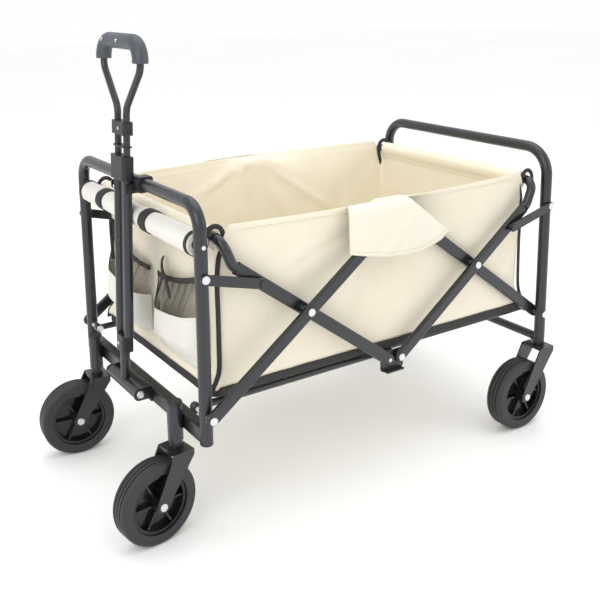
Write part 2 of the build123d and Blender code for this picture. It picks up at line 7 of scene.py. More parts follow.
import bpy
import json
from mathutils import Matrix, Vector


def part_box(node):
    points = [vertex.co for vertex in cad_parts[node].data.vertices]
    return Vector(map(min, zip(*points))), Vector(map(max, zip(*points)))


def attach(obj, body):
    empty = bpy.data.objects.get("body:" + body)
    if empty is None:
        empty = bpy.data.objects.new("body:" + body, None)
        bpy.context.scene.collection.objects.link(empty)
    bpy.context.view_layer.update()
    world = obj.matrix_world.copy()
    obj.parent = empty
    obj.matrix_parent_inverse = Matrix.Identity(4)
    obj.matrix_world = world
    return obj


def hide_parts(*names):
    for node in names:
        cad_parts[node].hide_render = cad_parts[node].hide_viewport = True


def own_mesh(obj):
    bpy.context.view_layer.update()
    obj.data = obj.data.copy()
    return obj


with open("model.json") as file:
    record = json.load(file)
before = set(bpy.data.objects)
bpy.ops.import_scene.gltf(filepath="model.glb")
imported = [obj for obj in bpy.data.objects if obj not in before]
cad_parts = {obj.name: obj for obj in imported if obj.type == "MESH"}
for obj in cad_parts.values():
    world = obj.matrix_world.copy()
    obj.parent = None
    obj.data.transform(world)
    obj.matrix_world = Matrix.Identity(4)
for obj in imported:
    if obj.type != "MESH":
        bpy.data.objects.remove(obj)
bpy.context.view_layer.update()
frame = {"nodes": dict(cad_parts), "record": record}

import json
import logging
import math
from dataclasses import dataclass
from enum import Enum
from typing import Sequence

import bmesh
import bpy
import numpy as np
from mathutils import Matrix, Vector, noise

Material = bpy.types.Material
Tree = bpy.types.NodeTree
Node = bpy.types.Node
Socket = bpy.types.NodeSocket
Piece = bpy.types.Object

LOG = logging.getLogger("beach_cart")
MM = 0.001


class Side(Enum):
    """The two long sides of the cart."""

    LEFT = -1
    RIGHT = 1


class End(Enum):
    """The two ends of the cart."""

    FRONT = -1
    REAR = 1


class Slot(Enum):
    """The record's material slots."""

    FRAME = "frame_steel"
    PLASTIC = "black_plastic"
    GRIP = "grip_plastic"
    RIM = "rim_plastic"
    TYRE = "tyre"
    ZINC = "zinc_fasteners"
    CLOTH = "cream_cloth"
    NET = "black_mesh"
    BOARD = "floor_board"


# ------------------------------------------------------------------ small tools
def linear(code: str) -> tuple[float, float, float, float]:
    """Turn an sRGB hex colour into linear RGBA.

    Args:
        code: six hex digits, such as "e7dec6".

    Returns:
        Linear red, green, blue and an alpha of one.
    """
    parts = [int(code[i : i + 2], 16) / 255 for i in (0, 2, 4)]
    flat = [c / 12.92 if c <= 0.04045 else ((c + 0.055) / 1.055) ** 2.4 for c in parts]
    return (flat[0], flat[1], flat[2], 1.0)


def add_node(
    tree: Tree, kind: str, settings: dict | None = None, links: dict | None = None
) -> Node:
    """Add one shader node.

    Args:
        tree: the material's node tree.
        kind: the node's type name.
        settings: attributes, or input sockets by name or number, with their values.
        links: input sockets by name or number, with the output socket to join.

    Returns:
        The new node.
    """
    node = tree.nodes.new(kind)
    for key, value in (settings or {}).items():
        if isinstance(key, str) and hasattr(node, key):
            setattr(node, key, value)
        else:
            node.inputs[key].default_value = value
    for key, source in (links or {}).items():
        tree.links.new(source, node.inputs[key])
    return node


def middle_x() -> float:
    """Middle of the leg frames along the cart, in metres."""
    low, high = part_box("bottom_centre_bracket")
    return (low[0] + high[0]) / 2


MID_X = middle_x()


def at(x: float, y: float, z: float) -> np.ndarray:
    """A place given in millimetres from the middle of the cart, in row-frame metres."""
    return np.array((MID_X + x * MM, y * MM, z * MM))


def angle(k: int, count: int) -> float:
    """Angle of step k of an even count round a circle."""
    return 2 * math.pi * k / count


def spread(k: int, count: int) -> float:
    """Place of step k of an even count from -1 to 1."""
    return 2 * k / (count - 1) - 1


def ease(t: float) -> float:
    """A smooth step from 0 to 1."""
    t = min(max(t, 0.0), 1.0)
    return t * t * (3 - 2 * t)


def ripple(a: float, b: float, seed: float) -> float:
    """Smooth fixed noise from about -1 to 1 at a place on a cloth."""
    return noise.noise(Vector((a, b, seed)))


def through(points: Sequence[Sequence[float]], count: int) -> np.ndarray:
    """Sample a smooth line that passes through some points.

    Args:
        points: places in millimetres.
        count: how many samples to return.

    Returns:
        An array of count places.
    """
    p = np.array(points, float)
    p = np.vstack((2 * p[0] - p[1], p, 2 * p[-1] - p[-2]))
    out = []
    for t in np.linspace(0, len(points) - 1 - 1e-9, count):
        i = int(t)
        f = t - i
        a, b, c, d = p[i], p[i + 1], p[i + 2], p[i + 3]
        bend, twist = 2 * a - 5 * b + 4 * c - d, 3 * b - a - 3 * c + d
        out.append(0.5 * (2 * b + (c - a) * f + bend * f**2 + twist * f**3))
    return np.array(out)


def grid_faces(rows: int, cols: int, wrap: bool = False) -> list[tuple[int, ...]]:
    """Quads over a grid of points.

    Args:
        rows: rows of points.
        cols: points in a row.
        wrap: whether the last column joins the first.

    Returns:
        Faces as tuples of point numbers.
    """
    faces = []
    for r in range(rows - 1):
        for c in range(cols if wrap else cols - 1):
            a, b = r * cols + c, r * cols + (c + 1) % cols
            faces.append((a, b, b + cols, a + cols))
    return faces


def mesh_piece(
    name: str, verts: Sequence[Sequence[float]], faces: Sequence[Sequence[int]], finish: Material
) -> Piece:
    """Make a smooth-shaded mesh object.

    Args:
        name: the piece's name.
        verts: points in row-frame metres.
        faces: tuples of point numbers.
        finish: its material.

    Returns:
        The object, linked to the scene.
    """
    mesh = bpy.data.meshes.new(name)
    mesh.from_pydata([tuple(map(float, v)) for v in verts], [], [tuple(f) for f in faces])
    mesh.validate()
    mesh.materials.append(finish)
    mesh.polygons.foreach_set("use_smooth", [True] * len(mesh.polygons))
    mesh.update()
    piece = bpy.data.objects.new(name, mesh)
    bpy.context.scene.collection.objects.link(piece)
    return piece


def settle(piece: Piece) -> None:
    """Turn a piece's modifiers into its mesh."""
    graph = bpy.context.evaluated_depsgraph_get()
    mesh = bpy.data.meshes.new_from_object(piece.evaluated_get(graph))
    piece.modifiers.clear()
    piece.data = mesh


def cloth_piece(
    name: str, grid: np.ndarray, thick: float, finish: Material, wrap: bool = False
) -> Piece:
    """Make a sheet with a real thickness from a grid of places.

    Args:
        name: the piece's name.
        grid: rows by columns by 3, in metres.
        thick: thickness in millimetres, split over both faces.
        finish: its material.
        wrap: whether the last column joins the first.

    Returns:
        The object, closed at its edges.
    """
    rows, cols = grid.shape[:2]
    piece = mesh_piece(name, grid.reshape(-1, 3), grid_faces(rows, cols, wrap), finish)
    solid = piece.modifiers.new("thickness", "SOLIDIFY")
    solid.thickness = thick * MM
    solid.offset = 0.0
    settle(piece)
    return piece


def swept(
    name: str,
    path: np.ndarray,
    out: np.ndarray,
    section: Sequence[tuple[float, float]],
    finish: Material,
    closed: bool = False,
) -> Piece:
    """Carry a closed cross-section along a line.

    Args:
        name: the piece's name.
        path: places in metres.
        out: the direction that faces away from the backing, at each place.
        section: the outline as (across, outward) in millimetres.
        finish: its material.
        closed: whether the line ends where it starts.

    Returns:
        The object, capped at its ends unless it is closed.
    """
    count = len(path)
    if closed:
        along = np.roll(path, -1, 0) - np.roll(path, 1, 0)
    else:
        along = np.gradient(path, axis=0)
    along /= np.linalg.norm(along, axis=1)[:, None]
    across = np.cross(along, out)
    across /= np.linalg.norm(across, axis=1)[:, None]
    up = np.cross(across, along)
    verts = [path[i] + (across[i] * s + up[i] * u) * MM for i in range(count) for s, u in section]
    size = len(section)
    loops = list(range(count)) + ([0] if closed else [])
    faces = [
        (a * size + k, a * size + (k + 1) % size, b * size + (k + 1) % size, b * size + k)
        for a, b in zip(loops, loops[1:])
        for k in range(size)
    ]
    if not closed:
        faces.append(tuple(reversed(range(size))))
        faces.append(tuple((count - 1) * size + k for k in range(size)))
    piece = mesh_piece(name, verts, faces, finish)
    turn_outward(piece)
    return piece


def turn_outward(piece: Piece) -> None:
    """Make a closed mesh's faces look outward."""
    work = bmesh.new()
    work.from_mesh(piece.data)
    bmesh.ops.recalc_face_normals(work, faces=work.faces)
    work.to_mesh(piece.data)
    work.free()


def band_section(width: float, thick: float) -> list[tuple[float, float]]:
    """A flat band's outline with rounded edges, in millimetres."""
    w, t = width / 2, thick / 2
    flat = w * 0.86
    low = [(-w, -t * 0.5), (-flat, -t), (flat, -t), (w, -t * 0.5)]
    return low + [(w, t * 0.5), (flat, t), (0, t * 1.15), (-flat, t), (-w, t * 0.5)]


def stitch_row(
    name: str,
    path: np.ndarray,
    out: np.ndarray,
    finish: Material,
    pitch: float = 6.0,
    length: float = 4.2,
    thread: float = 0.55,
) -> Piece:
    """Lay separate stitches along a line.

    Args:
        name: the piece's name.
        path: close places along the line, in metres.
        out: the direction that faces away from the cloth, at each place.
        finish: the thread's material.
        pitch: distance between stitches, in millimetres.
        length: length of one stitch.
        thread: thread radius.

    Returns:
        One object that holds every stitch.
    """
    sides = 6
    bow = ((0.0, -0.2), (0.2, 0.8), (0.8, 0.8), (1.0, -0.2))  # share along, rise in thread radii
    steps = np.linalg.norm(np.diff(path, axis=0), axis=1)
    run = np.concatenate(([0], np.cumsum(steps)))
    verts: list[np.ndarray] = []
    faces: list[tuple[int, ...]] = []
    for start in np.arange(pitch * MM / 2, run[-1] - length * MM, pitch * MM):
        ends = [
            np.array([np.interp(start + d, run, path[:, k]) for k in range(3)])
            for d in (0, length * MM)
        ]
        up = np.array([np.interp(start, run, out[:, k]) for k in range(3)])
        up /= np.linalg.norm(up)
        along = (ends[1] - ends[0]) / np.linalg.norm(ends[1] - ends[0])
        side = np.cross(along, up)
        base = len(verts)
        for share, rise in bow:
            centre = ends[0] + (ends[1] - ends[0]) * share + up * rise * thread * MM
            for k in range(sides):
                a = angle(k, sides)
                verts.append(centre + (side * math.cos(a) + up * math.sin(a)) * thread * MM)
        for ring in range(len(bow) - 1):
            for k in range(sides):
                a, b = base + ring * sides + k, base + ring * sides + (k + 1) % sides
                faces.append((a, b, b + sides, a + sides))
        faces.append(tuple(base + k for k in reversed(range(sides))))
        faces.append(tuple(base + (len(bow) - 1) * sides + k for k in range(sides)))
    return mesh_piece(name, verts, faces, finish)


def place(
    piece: Piece, body: str, stands_for: Sequence[str] = (), folds: bool = False
) -> None:
    """Give a piece its body and what it stands for.

    Args:
        piece: the finished mesh.
        body: the CAD body that it rides on.
        stands_for: CAD nodes that it replaces.
        folds: whether it gets its own copy of its mesh data.
    """
    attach(piece, body)
    if stands_for:
        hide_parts(*stands_for)
    if folds:
        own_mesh(piece)
    LOG.info("%s rides %s with %d faces", piece.name, body, len(piece.data.polygons))


# ------------------------------------------------------------------ finishes
def new_material(name: str) -> tuple[Material, Tree, Node]:
    """Start a node material.

    Args:
        name: the material's name.

    Returns:
        The material, its node tree and its surface shader.
    """
    material = bpy.data.materials.new(name)
    material.use_nodes = True
    tree = material.node_tree
    tree.nodes.clear()
    shader = add_node(tree, "ShaderNodeBsdfPrincipled")
    add_node(tree, "ShaderNodeOutputMaterial", links={"Surface": shader.outputs[0]})
    return material, tree, shader


def colour_spread(tree: Tree, shader: Node, factor: Socket, dark: str, light: str) -> None:
    """Colour a shader between two hex colours by a factor.

    Args:
        tree: the material's node tree.
        shader: its surface shader.
        factor: the socket that runs from dark to light.
        dark: sRGB hex of the dark end.
        light: sRGB hex of the light end.
    """
    mix = add_node(tree, "ShaderNodeMix", {"data_type": "RGBA"}, {0: factor})
    mix.inputs[6].default_value = linear(dark)
    mix.inputs[7].default_value = linear(light)
    tree.links.new(mix.outputs[2], shader.inputs["Base Color"])


def mottle(
    tree: Tree,
    shader: Node,
    cloud_settings: dict[str, float],
    colours: tuple[str, str],
    between: tuple[float, float],
    rough: tuple[float, float],
) -> Socket:
    """Vary a surface's colour and roughness together, in soft clouds.

    Args:
        tree: the material's node tree.
        shader: its surface shader.
        cloud_settings: the noise's scale and detail.
        colours: sRGB hex of the dark and the light ends.
        between: noise values that give the lowest and highest roughness.
        rough: lowest and highest roughness.

    Returns:
        The object coordinates, for further patterns.
    """
    coords = add_node(tree, "ShaderNodeTexCoord").outputs["Object"]
    cloud = add_node(tree, "ShaderNodeTexNoise", cloud_settings, {"Vector": coords}).outputs[0]
    colour_spread(tree, shader, cloud, *colours)
    span = {"From Min": between[0], "From Max": between[1], "To Min": rough[0], "To Max": rough[1]}
    scaled = add_node(tree, "ShaderNodeMapRange", span, {"Value": cloud})
    tree.links.new(scaled.outputs[0], shader.inputs["Roughness"])
    return coords


@dataclass(frozen=True)
class PowderCoatedSteel:
    """Steel tube with a charcoal powder coat: even, semi-gloss and faintly dimpled."""

    name: str = "powder_coated_steel"
    dark: str = "101215"
    light: str = "1a1d21"
    dimple_mm: float = 1.6
    roughness: float = 0.32
    coat: float = 0.35
    coat_roughness: float = 0.22

    def material(self) -> Material:
        """Build the material."""
        material, tree, shader = new_material(self.name)
        shader.inputs["Coat Weight"].default_value = self.coat
        shader.inputs["Coat Roughness"].default_value = self.coat_roughness
        rough = (self.roughness - 0.05, self.roughness + 0.08)
        clouds = {"Scale": 18.0, "Detail": 3.0}
        coords = mottle(tree, shader, clouds, (self.dark, self.light), (0.3, 0.7), rough)
        dimples = {"Scale": 1 / (self.dimple_mm * MM), "Detail": 1.0}
        peel = add_node(tree, "ShaderNodeTexNoise", dimples, {"Vector": coords})
        relief = {"Strength": 0.06, "Distance": 0.0004}
        bump = add_node(tree, "ShaderNodeBump", relief, {"Height": peel.outputs[0]})
        tree.links.new(bump.outputs[0], shader.inputs["Normal"])
        return material


@dataclass(frozen=True)
class MouldedPlastic:
    """Injection-moulded plastic with a fine spark-eroded grain that softens its highlights."""

    name: str
    dark: str
    light: str
    roughness: float
    grain_mm: float = 0.9
    grain: float = 0.12

    def material(self) -> Material:
        """Build the material."""
        material, tree, shader = new_material(self.name)
        rough = (self.roughness - 0.05, self.roughness + 0.07)
        clouds = {"Scale": 26.0, "Detail": 4.0}
        coords = mottle(tree, shader, clouds, (self.dark, self.light), (0.3, 0.7), rough)
        pits = {"Scale": 1 / (self.grain_mm * MM), "Detail": 2.0}
        grain = add_node(tree, "ShaderNodeTexNoise", pits, {"Vector": coords})
        relief = {"Strength": self.grain, "Distance": 0.0005}
        bump = add_node(tree, "ShaderNodeBump", relief, {"Height": grain.outputs[0]})
        tree.links.new(bump.outputs[0], shader.inputs["Normal"])
        return material


@dataclass(frozen=True)
class ZincPlatedSteel:
    """Bright zinc-plated rivets and bolts: pale metal with small dull patches."""

    name: str = "zinc_plated_steel"
    colour: str = "d9dadc"

    def material(self) -> Material:
        """Build the material."""
        material, tree, shader = new_material(self.name)
        shader.inputs["Base Color"].default_value = linear(self.colour)
        shader.inputs["Metallic"].default_value = 1.0
        coords = add_node(tree, "ShaderNodeTexCoord").outputs["Object"]
        dull = {"Scale": 300.0, "Detail": 3.0}
        patch = add_node(tree, "ShaderNodeTexNoise", dull, {"Vector": coords})
        span = {"From Min": 0.35, "From Max": 0.65, "To Min": 0.2, "To Max": 0.38}
        rough = add_node(tree, "ShaderNodeMapRange", span, {"Value": patch.outputs[0]})
        tree.links.new(rough.outputs[0], shader.inputs["Roughness"])
        return material


@dataclass(frozen=True)
class OxfordPolyester:
    """Woven polyester with a soft coating: matt, with a fine basket weave and a faint sheen.

    The real thread spacing is about 0.5 mm; it is drawn at weave_mm so that it shows.
    """

    name: str = "oxford_polyester_cream"
    dark: str = "e2d9c2"
    light: str = "eee7d5"
    weave_mm: float = 1.6
    sheen: float = 0.25
    sheen_roughness: float = 0.5

    def material(self) -> Material:
        """Build the material."""
        material, tree, shader = new_material(self.name)
        shader.inputs["Sheen Weight"].default_value = self.sheen
        shader.inputs["Sheen Roughness"].default_value = self.sheen_roughness
        clouds = {"Scale": 7.0, "Detail": 4.0, "Roughness": 0.6}
        coords = mottle(tree, shader, clouds, (self.dark, self.light), (0.0, 1.0), (0.66, 0.8))
        axes = add_node(tree, "ShaderNodeSeparateXYZ", links={0: coords})
        waves = []
        turn = 2 * math.pi / (self.weave_mm * MM)
        for axis in range(3):
            times = {"operation": "MULTIPLY", 1: turn}
            scaled = add_node(tree, "ShaderNodeMath", times, {0: axes.outputs[axis]})
            wave = add_node(tree, "ShaderNodeMath", {"operation": "SINE"}, {0: scaled.outputs[0]})
            waves.append(wave.outputs[0])
        plan = add_node(tree, "ShaderNodeMath", {"operation": "ADD"}, {0: waves[0], 1: waves[1]})
        crossed = {0: plan.outputs[0], 1: waves[2]}
        weave = add_node(tree, "ShaderNodeMath", {"operation": "MULTIPLY"}, crossed)
        crumple = {"Scale": 22.0, "Detail": 5.0, "Roughness": 0.55, "Distortion": 0.6}
        creases = add_node(tree, "ShaderNodeTexNoise", crumple, {"Vector": coords})
        thread_relief = {"Strength": 0.25, "Distance": 0.0003}
        fine = add_node(tree, "ShaderNodeBump", thread_relief, {"Height": weave.outputs[0]})
        crease_relief = {"Strength": 0.35, "Distance": 0.004}
        stacked = {"Height": creases.outputs[0], "Normal": fine.outputs[0]}
        bump = add_node(tree, "ShaderNodeBump", crease_relief, stacked)
        tree.links.new(bump.outputs[0], shader.inputs["Normal"])
        return material


@dataclass(frozen=True)
class WovenWebbing:
    """Black polypropylene webbing and binding: matt, with a ribbed weave that catches light."""

    name: str = "woven_polypropylene_black"
    dark: str = "1b1b1c"
    light: str = "3b3935"
    rib_mm: float = 3.2

    def material(self) -> Material:
        """Build the material."""
        material, tree, shader = new_material(self.name)
        shader.inputs["Roughness"].default_value = 0.7
        coords = add_node(tree, "ShaderNodeTexCoord").outputs["Object"]
        axes = add_node(tree, "ShaderNodeSeparateXYZ", links={0: coords}).outputs
        plan = add_node(tree, "ShaderNodeMath", {"operation": "ADD"}, {0: axes[0], 1: axes[1]})
        both = {0: plan.outputs[0], 1: axes[2]}
        slant = add_node(tree, "ShaderNodeMath", {"operation": "ADD"}, both)
        times = {"operation": "MULTIPLY", 1: 2 * math.pi / (self.rib_mm * MM)}
        scaled = add_node(tree, "ShaderNodeMath", times, {0: slant.outputs[0]})
        wave = add_node(tree, "ShaderNodeMath", {"operation": "SINE"}, {0: scaled.outputs[0]})
        span = {"From Min": -1.0, "From Max": 1.0}
        rib = add_node(tree, "ShaderNodeMapRange", span, {"Value": wave.outputs[0]})
        colour_spread(tree, shader, rib.outputs[0], self.dark, self.light)
        relief = {"Strength": 0.6, "Distance": 0.0008}
        bump = add_node(tree, "ShaderNodeBump", relief, {"Height": rib.outputs[0]})
        tree.links.new(bump.outputs[0], shader.inputs["Normal"])
        return material


@dataclass
class Finishes:
    """Every finish on the cart, built once."""

    def __post_init__(self) -> None:
        """Build the materials."""
        plastics = {
            "plastic": MouldedPlastic("moulded_nylon_charcoal", "121417", "1c1f23", 0.42),
            "grip": MouldedPlastic("moulded_pvc_grip_grey", "383c43", "484d54", 0.42, 1.2, 0.16),
            "rim": MouldedPlastic(
                "moulded_polypropylene_black", "0d0e10", "17181b", 0.22, 0.9, 0.05
            ),
            "tyre": MouldedPlastic("foamed_eva_tyre", "202022", "303134", 0.52, 1.8, 0.3),
            "net": MouldedPlastic("knitted_polyester_net", "1b1a18", "33302a", 0.75),
            "thread": MouldedPlastic("spun_polyester_thread", "cfc4a6", "e0d7bd", 0.8),
        }
        self.steel = PowderCoatedSteel().material()
        self.plastic = plastics["plastic"].material()
        self.grip = plastics["grip"].material()
        self.rim = plastics["rim"].material()
        self.tyre = plastics["tyre"].material()
        self.zinc = ZincPlatedSteel().material()
        self.cloth = OxfordPolyester().material()
        self.lining = OxfordPolyester("oxford_polyester_roll", "d5d3c9", "e6e5dd").material()
        # painted light: the flaps are the same cloth as the walls; this copy is toned greyer and a
        # little darker to stand in for how the light falls on them
        self.flap = OxfordPolyester("oxford_polyester_flap", "dcd6c5", "e8e2d3").material()
        self.webbing = WovenWebbing().material()
        self.net = plastics["net"].material()
        self.thread = plastics["thread"].material()


@dataclass
class FrameFinish:
    """Gives every rigid CAD node its finish."""

    finishes: Finishes

    def dress(self) -> None:
        """Assign a material to each rigid node by the record's slots."""
        use = self.finishes
        by_slot = {
            Slot.FRAME.value: use.steel,
            Slot.PLASTIC.value: use.plastic,
            Slot.GRIP.value: use.grip,
            Slot.RIM.value: use.rim,
            Slot.TYRE.value: use.tyre,
            Slot.ZINC.value: use.zinc,
            Slot.CLOTH.value: use.cloth,
            Slot.NET.value: use.webbing,
            Slot.BOARD.value: use.cloth,
        }
        for row in frame["record"]["subparts"]:
            node = frame["nodes"][row["node"]]
            finish = by_slot[row["material_slot"]]
            if not node.material_slots:
                node.data.materials.append(finish)
            for holder in node.material_slots:
                holder.material = finish
        LOG.info("dressed %d nodes", len(frame["nodes"]))


# ------------------------------------------------------------------ fabric tub
@dataclass
class TubWalls:
    """The sewn walls: one ring of cloth between the hems that leans out over the top hinges."""

    finishes: Finishes
    half_x: float = 402.0
    half_y: float = 247.0
    corner: float = 14.0
    low_z: float = 294.0
    top_z: float = 613.0
    end_top_z: float = 584.0
    foot_flare: float = 16.0
    foot_z: float = 331.0  # where the walls start to flare out to the floor's edge
    foot_height: float = 36.0
    corner_top_y: float = 255.0
    mid_top_y: float = 286.0
    leg_x: float = 450.0
    pivot_z: float = 266.0  # lower pivots of the arms
    arm_slope: float = 0.74
    arm_room: float = 26.0  # height kept straight above an arm's centre line
    front_clear_z: float = 300.0
    hem_start_x: float = 384.0  # where the top edge starts to drop below the hem bars
    hem_height: float = 15.0
    thick: float = 1.6
    rows: int = 58
    side_columns: int = 96
    end_columns: int = 54
    corner_columns: int = 6
    seam_row: int = 54
    seam_end_x: float = 360.0
    hinge_x: float = -12.0
    pull_lines: tuple[tuple[float, ...], ...] = (  # end x and z, depth, width
        (-135, 545, 6.5, 9),
        (214, 455, 6.5, 10),
        (-52, 492, 4.6, 9),
        (96, 430, 3.6, 11),
        (-250, 500, 3.4, 12),
    )
    flat_size: tuple[float, float] = (2.60, 0.335)

    def columns(self) -> list[tuple[float, float, float, float]]:
        """Places round the outline.

        Returns:
            Tuples of x, y and the outward direction, in millimetres and unit lengths.
        """
        hx, hy, r = self.half_x - self.corner, self.half_y - self.corner, self.corner
        out: list[tuple[float, float, float, float]] = []
        corners = ((1, -1, -90), (1, 1, 0), (-1, 1, 90), (-1, -1, 180))
        for side, (sx, sy, start) in enumerate(corners):
            before = corners[side - 1]
            a = math.radians(start)
            nx, ny = math.cos(a), math.sin(a)
            x0, y0 = before[0] * hx + r * nx, before[1] * hy + r * ny
            x1, y1 = sx * hx + r * nx, sy * hy + r * ny
            count = self.end_columns if side % 2 else self.side_columns
            for k in range(count):
                t = k / count
                out.append((x0 + (x1 - x0) * t, y0 + (y1 - y0) * t, nx, ny))
            for k in range(self.corner_columns):
                b = math.radians(start + 90 * k / self.corner_columns)
                nx, ny = math.cos(b), math.sin(b)
                out.append((sx * hx + r * nx, sy * hy + r * ny, nx, ny))
        return out

    def top_of(self, x: float, ny: float) -> float:
        """Height of the top edge: full on the long sides, lower where the hem bars pass."""
        side = abs(ny) ** 4
        gap = ease((abs(x) - self.hem_start_x) / 8)
        return self.end_top_z + (self.top_z - self.end_top_z) * side * (1 - gap)

    def lean(self, x: float, z: float, top: float) -> float:
        """How far out a long side stands, clear of the arms that pass it.

        Args:
            x: place along the cart, in millimetres.
            z: height.
            top: height of the top edge at that place.

        Returns:
            The distance out from the upright wall, in millimetres.
        """
        bow = (self.mid_top_y - self.corner_top_y) * (1 - (x / self.half_x) ** 2)
        reach = self.corner_top_y + bow - self.half_y
        arm = self.pivot_z + (self.leg_x - max(x, 0)) * self.arm_slope + self.arm_room
        arm = min(arm, top - 7)
        clear = arm + (self.front_clear_z - arm) * ease((-x - 36) / 60)
        t = min(max((z - clear) / (top - clear), 0), 1)
        return reach * t ** (1.5 + 0.6 * ease((x + 90) / 60))

    def creases(self, x: float, z: float) -> float:
        """Depth of the pull lines that run down from the top hinge, in millimetres."""
        total = 0.0
        from_x, from_z = x - self.hinge_x, z - self.top_z
        for ex, ez, depth, wide in self.pull_lines:
            dx, dz = ex - self.hinge_x, ez - self.top_z
            span = math.hypot(dx, dz)
            t = (from_x * dx + from_z * dz) / span**2
            off = abs(from_x * dz - from_z * dx) / span
            if 0 < t < 1.25:
                fade = ease(t * 6) * ease((1.25 - t) * 2.2)
                total += depth * math.exp(-((off / wide) ** 2)) * fade
        return total

    def grid(self) -> np.ndarray:
        """Places of the cloth's middle surface, in metres."""
        cols = self.columns()
        rows = []
        for r in range(self.rows):
            v = r / (self.rows - 1)
            v = v + 0.10 * math.sin(math.pi * v) * v
            slack = math.sin(math.pi * v)
            line = []
            for x, y, nx, ny in cols:
                side = abs(ny)
                top = self.top_of(x, ny)
                z = self.low_z + (top - self.low_z) * v
                wave = ripple(x / 90 + y / 70, z / 80, 3.1 if ny < 0 else 7.7)
                fine = ripple(x / 34 + y / 30, z / 46, 1.3)
                if side > 0.5:
                    inward = slack * (3.0 + 4.4 * wave + 1.5 * fine)
                    inward += self.creases(x, z) * (0.35 + 0.65 * slack)
                else:
                    inward = slack * (1.5 + 3.0 * wave + 1.0 * fine)
                flare = ease((self.foot_z - z) / self.foot_height)
                push = self.lean(x, z, top) * side
                push += self.foot_flare * flare * abs(nx) - max(inward, -1.2)
                stretch = 1 + self.foot_flare / self.half_x * flare * side
                hem = 1.1 * ease((z - (top - self.hem_height)) / 2.5) * side
                line.append(at(x * stretch + nx * push, y + ny * (push + hem), z))
            rows.append(line)
        return np.array(rows)

    def build(self) -> None:
        """Make the walls and the stitching under the side hems."""
        grid = self.grid()
        walls = cloth_piece("tub_walls_cloth", grid, self.thick, self.finishes.cloth, wrap=True)
        place(walls, "top_hinge", ("tub_walls",), folds=True)
        cols = self.columns()
        for side in Side:
            label, way = side.name.lower(), side.value
            pick = [
                i for i, c in enumerate(cols) if c[3] * way > 0.99 and abs(c[0]) < self.seam_end_x
            ]
            path = np.array([grid[self.seam_row, i] for i in pick])
            path[:, 1] += way * (self.thick / 2 + 0.2) * MM
            out = np.tile((0.0, way, 0.15), (len(pick), 1))
            seam = stitch_row(f"side_hem_stitches_{label}", path, out, self.finishes.thread)
            place(seam, "top_hinge", folds=True)


@dataclass
class TubFloor:
    """The cloth floor and the thin covered board that lies on it."""

    finishes: Finishes
    edge_x: float = 414.0
    edge_y: float = 247.0
    floor_z: float = 291.0
    thick: float = 1.4
    rows: int = 26
    cols: int = 44
    panels: int = 4
    board_cols: int = 97
    board_rows: int = 49
    groove_depth: float = 0.9
    groove_share: float = 0.025  # half width of a pressed line, as a share of a panel
    flat_size: tuple[float, float] = (0.828, 0.494)

    def cloth(self) -> None:
        """Make the floor cloth."""
        grid = np.array(
            [
                [
                    at(
                        self.edge_x * spread(c, self.cols),
                        self.edge_y * spread(r, self.rows),
                        self.floor_z + 0.5 * ripple(c / 4, r / 4, 2.0),
                    )
                    for c in range(self.cols)
                ]
                for r in range(self.rows)
            ]
        )
        floor = cloth_piece("tub_floor_cloth", grid, self.thick, self.finishes.cloth)
        place(floor, "top_hinge", ("tub_floor",), folds=True)

    def board_height(self, u: float, v: float, half_height: float) -> float:
        """Height of the board's face above its middle.

        Args:
            u: place along it, from -1 to 1.
            v: place across it, from -1 to 1.
            half_height: half its thickness, in metres.

        Returns:
            The height in metres, lower in the pressed lines and at the rounded rim.
        """
        turns = (u + 1) / 2 * self.panels
        near = min(abs(turns - round(turns)), 1.0)
        fade = 1 - ease((abs(u) - 0.95) / 0.05)
        groove = self.groove_depth * math.exp(-((near / self.groove_share) ** 2)) * fade
        edge = max(ease((abs(u) - 0.985) / 0.015), ease((abs(v) - 0.975) / 0.025))
        return half_height * (1 - 0.8 * edge) - groove * MM

    def board(self) -> None:
        """Make the board's cover with its pressed panel lines."""
        low, high = (np.array(c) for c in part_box("floor_board"))
        mid, half = (low + high) / 2, (high - low) / 2
        nx, ny = self.board_cols, self.board_rows
        verts = []
        for face in (1, -1):
            for j in range(ny):
                for i in range(nx):
                    u, v = spread(i, nx), spread(j, ny)
                    z = face * self.board_height(u, v, half[2])
                    verts.append(mid + np.array((half[0] * u, half[1] * v, z)))
        faces = grid_faces(ny, nx)
        count = nx * ny
        faces += [tuple(count + k for k in reversed(f)) for f in grid_faces(ny, nx)]
        rim = list(range(nx)) + [j * nx + nx - 1 for j in range(1, ny)]
        rim += [(ny - 1) * nx + i for i in range(nx - 2, -1, -1)]
        rim += [j * nx for j in range(ny - 2, 0, -1)]
        faces += [(a, a + count, b + count, b) for a, b in zip(rim, rim[1:] + rim[:1])]
        board = mesh_piece("floor_board_cover", verts, faces, self.finishes.cloth)
        turn_outward(board)
        place(board, "top_hinge", ("floor_board",), folds=True)

    def build(self) -> None:
        """Make both layers."""
        self.cloth()
        self.board()


